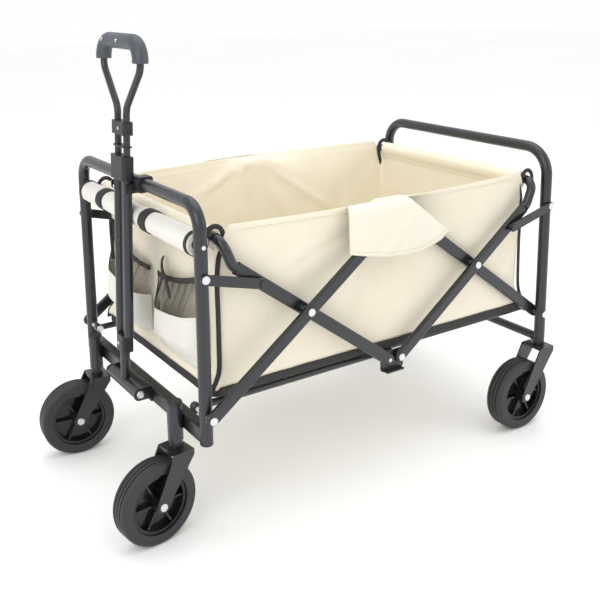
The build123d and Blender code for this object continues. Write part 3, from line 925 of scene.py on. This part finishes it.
@dataclass
class EndHems:
    """The stuffed hems round the two cross bars at the tub's ends."""

    finishes: Finishes
    bar_x: float = 408.0
    bar_z: float = 592.0
    radius: float = 16.4
    half_y: float = 242.0
    tail: float = 12.0  # how far the seam allowance hangs below the roll
    tail_in: float = 5.0
    seam_in: float = 15.6
    seam_down: float = 11.5
    rows: int = 74
    sides: int = 28

    def build(self) -> None:
        """Make both hems, each a tube of cloth with a flat seam allowance below it."""
        for end in End:
            label, way = end.name.lower(), end.value
            verts = []
            for r in range(self.rows):
                y = self.half_y * spread(r, self.rows)
                for k in range(self.sides):
                    a = angle(k, self.sides)
                    swell = 0.9 * ripple(y / 45, a * 1.4, 5.0 * way)
                    radius = self.radius + swell + 0.5 * ripple(y / 14, a * 2.0, 9.0)
                    down = max(-math.sin(a), 0) ** 8
                    x = self.bar_x * way + radius * math.cos(a) - way * self.tail_in * down
                    z = self.bar_z + radius * math.sin(a) - self.tail * down
                    verts.append(at(x, y, z))
            faces = grid_faces(self.rows, self.sides, wrap=True)
            faces.append(tuple(reversed(range(self.sides))))
            faces.append(tuple((self.rows - 1) * self.sides + k for k in range(self.sides)))
            hem = mesh_piece(f"{label}_hem_cloth", verts, faces, self.finishes.cloth)
            turn_outward(hem)
            place(hem, f"{label}_upper", (f"{label}_hem",))
            seam_x, seam_z = self.bar_x * way - way * self.seam_in, self.bar_z - self.seam_down
            ends = np.linspace(-self.half_y + 8, self.half_y - 8, 90)
            path = np.array([at(seam_x, y, seam_z) for y in ends])
            out = np.tile((-float(way), 0.0, -0.5), (len(path), 1))
            seam = stitch_row(f"{label}_hem_stitches", path, out, self.finishes.thread)
            place(seam, f"{label}_upper")


@dataclass
class HingeFlaps:
    """Half-moon flaps that hang from the side hems over the top hinges."""

    finishes: Finishes
    thick: float = 1.2
    rows: int = 30
    cols: int = 45
    shoulder_share: float = 0.22  # share of the flap that lies on the hem
    flat_size: tuple[float, float] = (0.275, 0.145)
    flat_area: float = 0.0292
    top: tuple[tuple[float, ...], ...] = (
        (-128, 283.5, 614.4),
        (-60, 286.5, 614.6),
        (-10, 287.5, 614.8),
        (16, 287.5, 613.6),
    )
    shoulder: tuple[tuple[float, ...], ...] = (
        (-140, 303, 603),
        (-70, 311, 605.6),
        (-6, 313.4, 606.6),
        (28, 302, 604),
    )
    low: tuple[tuple[float, ...], ...] = (
        (-143, 311, 525),
        (-90, 313.4, 513),
        (-30, 314.2, 504),
        (30, 313.6, 502),
        (84, 309, 511),
        (126, 302, 528),
    )
    folds: tuple[tuple[float, ...], ...] = (  # place along the lower edge, depth, width
        (0.30, 4.6, 0.05),
        (0.47, 4.0, 0.045),
        (0.64, 3.0, 0.06),
        (0.86, 2.4, 0.05),
    )

    def fold_at(self, u: float, t: float) -> float:
        """How far the slanting folds stand out at a share along and a share down, in mm."""
        fold = 0.0
        for shift, depth, wide in self.folds:
            line = shift + (1 - t) * (0.80 - shift)
            fold += depth * math.exp(-(((u - line) / wide) ** 2)) * ease(t * 3) * (0.5 + 0.5 * t)
        return fold + 0.8 * ripple(u * 5, t * 3, 4.0) * t

    def grid(self, side: Side) -> np.ndarray:
        """Places of one flap's middle surface, in metres."""
        top, shoulder, low = (through(p, self.cols) for p in (self.top, self.shoulder, self.low))
        split = self.shoulder_share
        rows = []
        for v in np.linspace(0, 1, self.rows):
            line = []
            for k in range(self.cols):
                if v < split:
                    t = v / split
                    p = top[k] + (shoulder[k] - top[k]) * t
                    p[2] += 2.0 * math.sin(math.pi * t)
                else:
                    t = (v - split) / (1 - split)
                    p = shoulder[k] + (low[k] - shoulder[k]) * t
                    p[1] += self.fold_at(k / (self.cols - 1), t)
                line.append(at(p[0], side.value * p[1], p[2]))
            rows.append(line)
        return np.array(rows)

    def build(self) -> None:
        """Make both flaps with their turned and stitched lower edge."""
        for side in Side:
            label, way = side.name.lower(), side.value
            grid = self.grid(side)
            # the flaps use the copy of the wall cloth whose tone carries painted light
            flap = cloth_piece(f"hinge_flap_{label}", grid, self.thick, self.finishes.flap)
            nodes = ("hinge_flaps",) if side is Side.LEFT else ()
            place(flap, "top_hinge", nodes, folds=True)
            path = grid[-3].copy()
            path[:, 1] += way * (self.thick / 2 + 0.1) * MM
            out = np.tile((0.0, way, 0.0), (len(path), 1))
            seam = stitch_row(f"flap_stitches_{label}", path, out, self.finishes.thread)
            place(seam, "top_hinge", folds=True)


@dataclass
class BottomBinding:
    """Black woven binding round the tub's foot, where walls and floor are sewn together."""

    finishes: Finishes
    half_x: float = 419.5
    half_y: float = 248.6
    corner: float = 22.0
    corner_steps: int = 8
    step: float = 12.0
    z: float = 286.0
    height: float = 17.0
    thick: float = 3.2

    def build(self) -> None:
        """Make the closed band with a slight waviness."""
        hx, hy, r = self.half_x - self.corner, self.half_y - self.corner, self.corner
        path, out = [], []
        for sx, sy, start in ((1, -1, -90), (1, 1, 0), (-1, 1, 90), (-1, -1, 180)):
            for k in range(self.corner_steps + 1):
                a = math.radians(start + 90 * k / self.corner_steps)
                path.append((sx * hx + r * math.cos(a), sy * hy + r * math.sin(a)))
                out.append((math.cos(a), math.sin(a), 0.0))
            a = math.radians(start + 90)
            run = 2 * (hy if start in (-90, 90) else hx)
            steps = int(run / self.step)
            x0, y0 = sx * hx + r * math.cos(a), sy * hy + r * math.sin(a)
            for k in range(1, steps):
                along = run * k / steps
                path.append((x0 - math.sin(a) * along, y0 + math.cos(a) * along))
                out.append((math.cos(a), math.sin(a), 0.0))
        places = [at(x, y, self.z + 1.6 * ripple(x / 60, y / 60, 8.0)) for x, y in path]
        section = band_section(self.height, self.thick)
        finish = self.finishes.webbing
        band = swept("tub_foot_binding", np.array(places), np.array(out), section, finish, True)
        place(band, "top_hinge", folds=True)


@dataclass
class CornerBindings:
    """Black piping down each corner seam, looped at the top round the hole for the hem bar."""

    finishes: Finishes
    width: float = 9.0
    thick: float = 4.4
    samples: int = 96
    front: tuple[tuple[float, ...], ...] = (
        *((-428, 252, 583), (-426, 253, 598), (-419, 254, 609), (-407, 255, 613)),
        *((-395, 255, 606), (-390, 254, 590), (-393, 252, 568), (-400, 250.5, 545)),
        *((-403, 249, 500), (-402, 248, 440), (-402, 248, 380), (-403, 248, 332)),
        *((-411, 248.5, 309), (-417, 249, 299), (-419, 249.5, 284)),
    )
    rear: tuple[tuple[float, ...], ...] = (
        *((429, 252, 572), (430, 253, 592), (423, 254, 607), (410, 255, 613)),
        *((397, 255, 606), (391, 254, 590), (393, 252, 568), (399, 250.5, 542)),
        *((400, 249, 500), (400, 248, 440), (401, 248, 380), (403, 248, 338)),
        *((409, 248.5, 315), (415, 249, 300), (419, 249.5, 284)),
    )

    def build(self) -> None:
        """Make one strip for each corner."""
        section = band_section(self.width, self.thick)
        for end, points in ((End.FRONT, self.front), (End.REAR, self.rear)):
            for side in Side:
                line = through(points, self.samples)
                path = np.array([at(x, side.value * y, z) for x, y, z in line])
                out = np.array([(end.value * 0.35, side.value, 0.0)] * len(path))
                name = f"corner_binding_{end.name.lower()}_{side.name.lower()}"
                strip = swept(name, path, out, section, self.finishes.webbing)
                place(strip, "top_hinge", folds=True)


@dataclass
class FrontRoll:
    """The rolled cloth cover strapped to the bar between the front legs."""

    finishes: Finishes
    centre_x: float = -446.5
    centre_z: float = 588.0
    radius: float = 22.5
    skin: float = 0.6  # how far the outer layer lies inside the nominal radius
    half_y: float = 259.0
    strap_y: tuple[float, float] = (-70.0, 149.0)
    strap_half: float = 14.0
    strap_thick: float = 2.0
    strap_rib: float = 0.7
    ribs_round: int = 38
    binding_half: float = 4.6
    binding_thick: float = 1.3
    handle_half_y: float = 36.0
    rows: int = 120
    cols: int = 64
    coil_steps: int = 13
    band_cols: int = 200
    band_rows: int = 15

    def at_angle(self, radius: float, a: float, y: float) -> np.ndarray:
        """A place at a radius and an angle round the roll's centre line."""
        x, z = self.centre_x + radius * math.cos(a), self.centre_z + radius * math.sin(a)
        return at(x, y, z)

    def radius_at(self, y: float) -> float:
        """Radius along the roll: pulled in by the straps and by the handle in front of it."""
        r = self.radius
        for strap in self.strap_y:
            r -= 1.6 * math.exp(-(((y - strap) / 26) ** 2))
        r -= 1.9 * math.exp(-((y / self.handle_half_y) ** 4))
        return r

    def build(self) -> None:
        """Make the roll, its bound ends and both straps."""
        rows, cols = self.rows, self.cols
        verts = []
        for j in range(rows):
            y = self.half_y * spread(j, rows)
            base = self.radius_at(y)
            for k in range(cols):
                a = angle(k, cols)
                lap = 1.3 * ease((a - 3.6) / 0.1) * (1 - (a - 3.6) / 2.7 if a > 3.6 else 0)
                wave = 0.7 * ripple(y / 60, math.cos(a) * 1.2, 2.2)
                wave += 0.35 * ripple(y / 18, math.sin(a) * 1.5, 4.4)
                verts.append(self.at_angle(base + lap + wave - self.skin, a, y))
        faces = grid_faces(rows, cols, wrap=True)
        for side, row in ((-1, 0), (1, rows - 1)):
            previous = row * cols
            for step in range(1, self.coil_steps):
                share = 1 - step / self.coil_steps
                edge = (self.radius_at(side * self.half_y) - self.skin) * share
                start = len(verts)
                for k in range(cols):
                    coil = 1.1 * math.sin(2 * math.pi * (step / 3 + k / cols))
                    y = side * (self.half_y + 0.6 + coil)
                    verts.append(self.at_angle(edge, angle(k, cols), y))
                for k in range(cols):
                    n = (k + 1) % cols
                    faces.append((previous + k, previous + n, start + n, start + k))
                previous = start
            faces.append(tuple(previous + k for k in range(cols)))
        roll = mesh_piece("front_roll_cover", verts, faces, self.finishes.lining)
        turn_outward(roll)
        place(roll, "front_frame", ("front_roll",))
        for side in Side:
            y = side.value * (self.half_y - 4.5)
            name = f"roll_end_binding_{side.name.lower()}"
            self.ring(name, y, self.binding_half, self.binding_thick, 0.0)
        for number, y in enumerate(self.strap_y):
            nodes = ("roll_straps",) if number == 0 else ()
            name = f"roll_strap_{number + 1}"
            self.ring(name, y, self.strap_half, self.strap_thick, self.strap_rib, nodes)

    def ring(
        self,
        name: str,
        y: float,
        half: float,
        thick: float,
        rib: float,
        stands_for: Sequence[str] = (),
    ) -> None:
        """Make a band round the roll.

        Args:
            name: the piece's name.
            y: its middle along the roll.
            half: half its width.
            thick: its thickness.
            rib: height of its cross ribs, or 0 for a plain binding without a lap.
            stands_for: CAD nodes that it replaces.
        """
        cols = self.band_cols
        verts = []
        for j in range(self.band_rows):
            t = spread(j, self.band_rows)
            edge = 1 - 0.6 * ease((abs(t) - 0.86) / 0.14)
            base = self.radius_at(y + half * t) + 0.55
            for k in range(cols):
                a = angle(k, cols)
                ribs = rib * (0.5 + 0.5 * math.sin(a * self.ribs_round + t * 2.2))
                lap = 1.2 * ease((a - 2.2) / 0.06) * (1 - ease((a - 3.3) / 0.2)) if rib else 0.0
                verts.append(self.at_angle(base + (thick + ribs + lap) * edge, a, y + half * t))
        for j in range(self.band_rows - 1, -1, -1):
            t = spread(j, self.band_rows)
            base = self.radius_at(y + half * t) - 0.4
            verts += [self.at_angle(base, angle(k, cols), y + half * t) for k in range(cols)]
        rows = 2 * self.band_rows
        last = (rows - 1) * cols
        faces = grid_faces(rows, cols, wrap=True)
        faces += [(last + k, last + (k + 1) % cols, (k + 1) % cols, k) for k in range(cols)]
        band = mesh_piece(name, verts, faces, self.finishes.webbing)
        turn_outward(band)
        place(band, "front_frame", stands_for)


@dataclass
class Pocket:
    """One front pocket: a sagging cloth bag below and a gathered net above."""

    finishes: Finishes
    side: Side
    inner_y: float
    outer_y: float
    wall_x: float = -404.0
    depth: float = 35.0
    low_z: float = 313.0
    seam_inner: float = 398.0
    seam_outer: float = 428.0
    top_inner: float = 458.0
    top_outer: float = 504.0
    thick: float = 1.2
    turn_in: tuple[float, ...] = (-0.16, -0.10, -0.04)  # shares of the bottom, turned under
    bag_rows: int = 26
    bag_cols: int = 41
    mesh_mm: float = 6.2
    mesh_rows: int = 13
    strand: float = 1.1
    edge_samples: int = 70
    flat_size: tuple[float, float] = (0.235, 0.115)
    tab_line: tuple[tuple[float, ...], ...] = (
        *((-409, -36, 500), (-416, -44, 492), (-424, -62, 480)),
        *((-428, -84, 468), (-430, -96, 452), (-431, -104, 436)),
    )
    loop_centre: tuple[float, float, float] = (-412.0, 213.0, 505.0)
    loop_reach: tuple[float, float, float] = (3.0, 10.0, 21.0)

    def y_at(self, u: float) -> float:
        """Place across the pocket, from its inner to its outer edge."""
        return self.inner_y + (self.outer_y - self.inner_y) * u

    def seam_z(self, u: float) -> float:
        """Height of the seam between cloth and net."""
        rise = self.seam_outer - self.seam_inner
        return self.seam_inner + rise * u - 7 * math.sin(math.pi * u)

    def top_z(self, u: float) -> float:
        """Height of the elastic top edge."""
        return self.top_inner + (self.top_outer - self.top_inner) * u - 9 * math.sin(math.pi * u)

    def bag_depth(self, u: float, v: float) -> float:
        """How far the bag stands out at a share across and a share up its cloth."""
        across = min(1.0, math.sin(math.pi * u) * 1.7) ** 0.55
        up = 0.34 + 0.66 * ease(v * 2.1) - 0.10 * ease((v - 0.6) / 0.4)
        pleat = 1 + 0.07 * math.sin(u * 15 + v * 2) * (1 - v)
        return self.depth * across * up * pleat

    def bag(self) -> np.ndarray:
        """Places of the cloth part, in metres."""
        rows = []
        for v in (*self.turn_in, *np.linspace(0, 1, self.bag_rows)):
            line = []
            for u in np.linspace(0, 1, self.bag_cols):
                bow = 5 * abs(2 * u - 1) ** 2
                if v < 0:
                    out = self.bag_depth(u, 0.0) * (1 - v / self.turn_in[0])
                    z = self.low_z + 3 * v + bow
                else:
                    out = self.bag_depth(u, v)
                    z = self.low_z + (self.seam_z(u) - self.low_z) * v + bow * (1 - v)
                out += 1.2 * ripple(u * 6, v * 4, self.inner_y) * math.sin(math.pi * u)
                line.append(at(self.wall_x - 2.2 - max(out, 0), self.y_at(u), z))
            rows.append(line)
        return np.array(rows)

    def net_place(self, u: float, w: float) -> tuple[float, float, float]:
        """A place on the net at a share across and a share up it, in millimetres."""
        z = self.seam_z(u) + (self.top_z(u) - self.seam_z(u)) * w
        out = self.bag_depth(u, 1.0) * (1 - ease(w * 1.02) * 0.72)
        gather = 1.0 * math.sin(u * 46) * w
        return self.wall_x - 2.4 - out - gather, self.y_at(u), z

    def net(self) -> Piece:
        """Make the net as a lattice of real strands, about 6 mm to a diamond."""
        nu, nw = 2 * int(abs(self.outer_y - self.inner_y) / self.mesh_mm), 2 * self.mesh_rows
        verts: list[np.ndarray] = []
        index: dict[tuple[int, int], int] = {}
        for j in range(nw + 1):
            for i in range(nu + 1):
                if (i + j) % 2 == 0:
                    index[(i, j)] = len(verts)
                    verts.append(at(*self.net_place(i / nu, j / nw)))
        faces = []
        for i, j in index:
            corners = ((i, j), (i + 1, j + 1), (i, j + 2), (i - 1, j + 1))
            ring = [index.get(k) for k in corners]
            if None not in ring:
                faces.append(tuple(ring))
        name = f"pocket_net_{self.side.name.lower()}"
        piece = mesh_piece(name, verts, faces, self.finishes.net)
        wire = piece.modifiers.new("strands", "WIREFRAME")
        wire.thickness = self.strand * MM
        wire.use_even_offset = False
        settle(piece)
        return piece

    def pull(self) -> None:
        """Make the pull tab of the left pocket or the pull loop of the right one."""
        finish = self.finishes.webbing
        if self.side is Side.LEFT:
            count = 40
            line = np.array([at(*p) for p in through(self.tab_line, count)])
            out = np.tile((-1.0, 0.0, 0.1), (count, 1))
            tab = swept("pocket_pull_tab", line, out, band_section(11.0, 2.6), finish)
        else:
            (x, y, z), (rx, ry, rz) = self.loop_centre, self.loop_reach
            turns = np.linspace(0, 2 * math.pi, 48, endpoint=False)
            loop = [
                at(x - rx * abs(math.sin(a)), y + ry * math.cos(a), z + rz * math.sin(a))
                for a in turns
            ]
            out = np.array([(0.0, math.cos(a), math.sin(a)) for a in turns])
            section = band_section(9.0, 2.4)
            tab = swept("pocket_pull_loop", np.array(loop), out, section, finish, closed=True)
        place(tab, "top_hinge", folds=True)

    def build(self) -> None:
        """Make the bag, net, elastic edge, seam tape and pull."""
        label = self.side.name.lower()
        left = self.side is Side.LEFT
        ahead = (-1.0, 0.0, 0.0)
        grid = self.bag()
        bag = cloth_piece(f"pocket_bag_{label}", grid, self.thick, self.finishes.lining)
        place(bag, "top_hinge", ("pocket_bags",) if left else (), folds=True)
        place(self.net(), "top_hinge", ("pocket_meshes",) if left else (), folds=True)
        steps = np.linspace(0, 1, self.edge_samples)
        edge = np.array([at(*self.net_place(u, 1.0)) for u in steps])
        out = np.tile(ahead, (len(edge), 1))
        name, section = f"pocket_elastic_{label}", band_section(11.0, 3.0)
        elastic = swept(name, edge, out, section, self.finishes.webbing)
        place(elastic, "top_hinge", folds=True)
        seam = grid[-1] + np.array((-0.9 * MM, 0, -1.5 * MM))
        out = np.tile(ahead, (len(seam), 1))
        name, section = f"pocket_seam_tape_{label}", band_section(5.0, 1.4)
        tape = swept(name, seam, out, section, self.finishes.lining)
        place(tape, "top_hinge", folds=True)
        self.pull()


# ------------------------------------------------------------------ studio
@dataclass
class Studio:
    """Camera, pale floor and soft lights."""

    place_m: tuple[float, float, float] = (-1.0815, -1.6172, 1.0395)
    yaw: float = 32.6
    pitch: float = -11.5
    roll: float = -0.9
    lens: float = 53.31
    shift_x: float = 0.0457
    shift_y: float = -0.2252
    floor_half: float = 14.0
    lights: tuple[tuple[str, tuple[float, float, float], float, float], ...] = (
        ("top_softbox", (0.3, 0.2, 3.6), 3.2, 44),
        ("left_softbox", (-2.6, -1.6, 2.2), 2.2, 30),
        ("right_softbox", (2.6, -2.4, 1.8), 2.2, 12),
    )

    def camera(self) -> None:
        """Set the camera at the chosen viewing angle."""
        yaw, pitch, roll = (math.radians(v) for v in (self.yaw, self.pitch, self.roll))
        level = math.cos(pitch)
        ahead = Vector((level * math.sin(yaw), level * math.cos(yaw), math.sin(pitch)))
        right = Vector((math.cos(yaw), -math.sin(yaw), 0))
        up = right.cross(ahead)
        tilt_right = right * math.cos(roll) + up * math.sin(roll)
        tilt_up = up * math.cos(roll) - right * math.sin(roll)
        data = bpy.data.cameras.new("view_camera")
        data.sensor_width = 36.0
        data.lens = self.lens
        data.shift_x, data.shift_y = self.shift_x, self.shift_y
        camera = bpy.data.objects.new("view_camera", data)
        turn = Matrix((tilt_right, tilt_up, -ahead)).transposed().to_4x4()
        camera.matrix_world = Matrix.Translation(self.place_m) @ turn
        bpy.context.scene.collection.objects.link(camera)
        bpy.context.scene.camera = camera

    def floor(self) -> None:
        """Lay the pale floor."""
        material, tree, shader = new_material("pale_floor")
        shader.inputs["Roughness"].default_value = 0.9
        coords = add_node(tree, "ShaderNodeTexCoord").outputs["Object"]
        cloud = add_node(tree, "ShaderNodeTexNoise", {"Scale": 0.6}, {"Vector": coords})
        colour_spread(tree, shader, cloud.outputs[0], "fafafa", "ffffff")
        half = self.floor_half
        corners = [(-half, -half, 0), (half, -half, 0), (half, half, 0), (-half, half, 0)]
        floor = mesh_piece("studio_floor", corners, [(0, 1, 2, 3)], material)

    def light(self, name: str, place_m: Sequence[float], size: float, power: float) -> None:
        """Hang one square soft light that faces the cart.

        Args:
            name: the light's name.
            place_m: its place, in metres.
            size: its side, in metres.
            power: its power, in watts.
        """
        data = bpy.data.lights.new(name, "AREA")
        data.size = size
        data.energy = power
        lamp = bpy.data.objects.new(name, data)
        lamp.location = place_m
        lamp.rotation_mode = "QUATERNION"
        ahead = Vector((0, 0, 0.4)) - Vector(place_m)
        lamp.rotation_quaternion = ahead.to_track_quat("-Z", "Y")
        bpy.context.scene.collection.objects.link(lamp)

    def build(self) -> None:
        """Set up camera, floor, lights and surroundings."""
        self.camera()
        self.floor()
        for settings in self.lights:
            self.light(*settings)
        world = bpy.data.worlds.new("studio_air")
        world.use_nodes = True
        back = world.node_tree.nodes["Background"]
        back.inputs["Color"].default_value = (1, 1, 1, 1)
        back.inputs["Strength"].default_value = 1.0
        bpy.context.scene.world = world
        bpy.context.scene.view_settings.view_transform = "Standard"


def main() -> None:
    """Build the cart's soft pieces and finishes in order."""
    logging.basicConfig(level=logging.INFO, format="%(message)s")
    Studio().build()
    finishes = Finishes()
    FrameFinish(finishes).dress()
    TubWalls(finishes).build()
    TubFloor(finishes).build()
    EndHems(finishes).build()
    HingeFlaps(finishes).build()
    BottomBinding(finishes).build()
    CornerBindings(finishes).build()
    FrontRoll(finishes).build()
    Pocket(finishes, Side.LEFT, inner_y=-6.0, outer_y=-216.0).build()
    Pocket(finishes, Side.RIGHT, inner_y=34.0, outer_y=228.0).build()


if __name__ == "__main__":
    main()
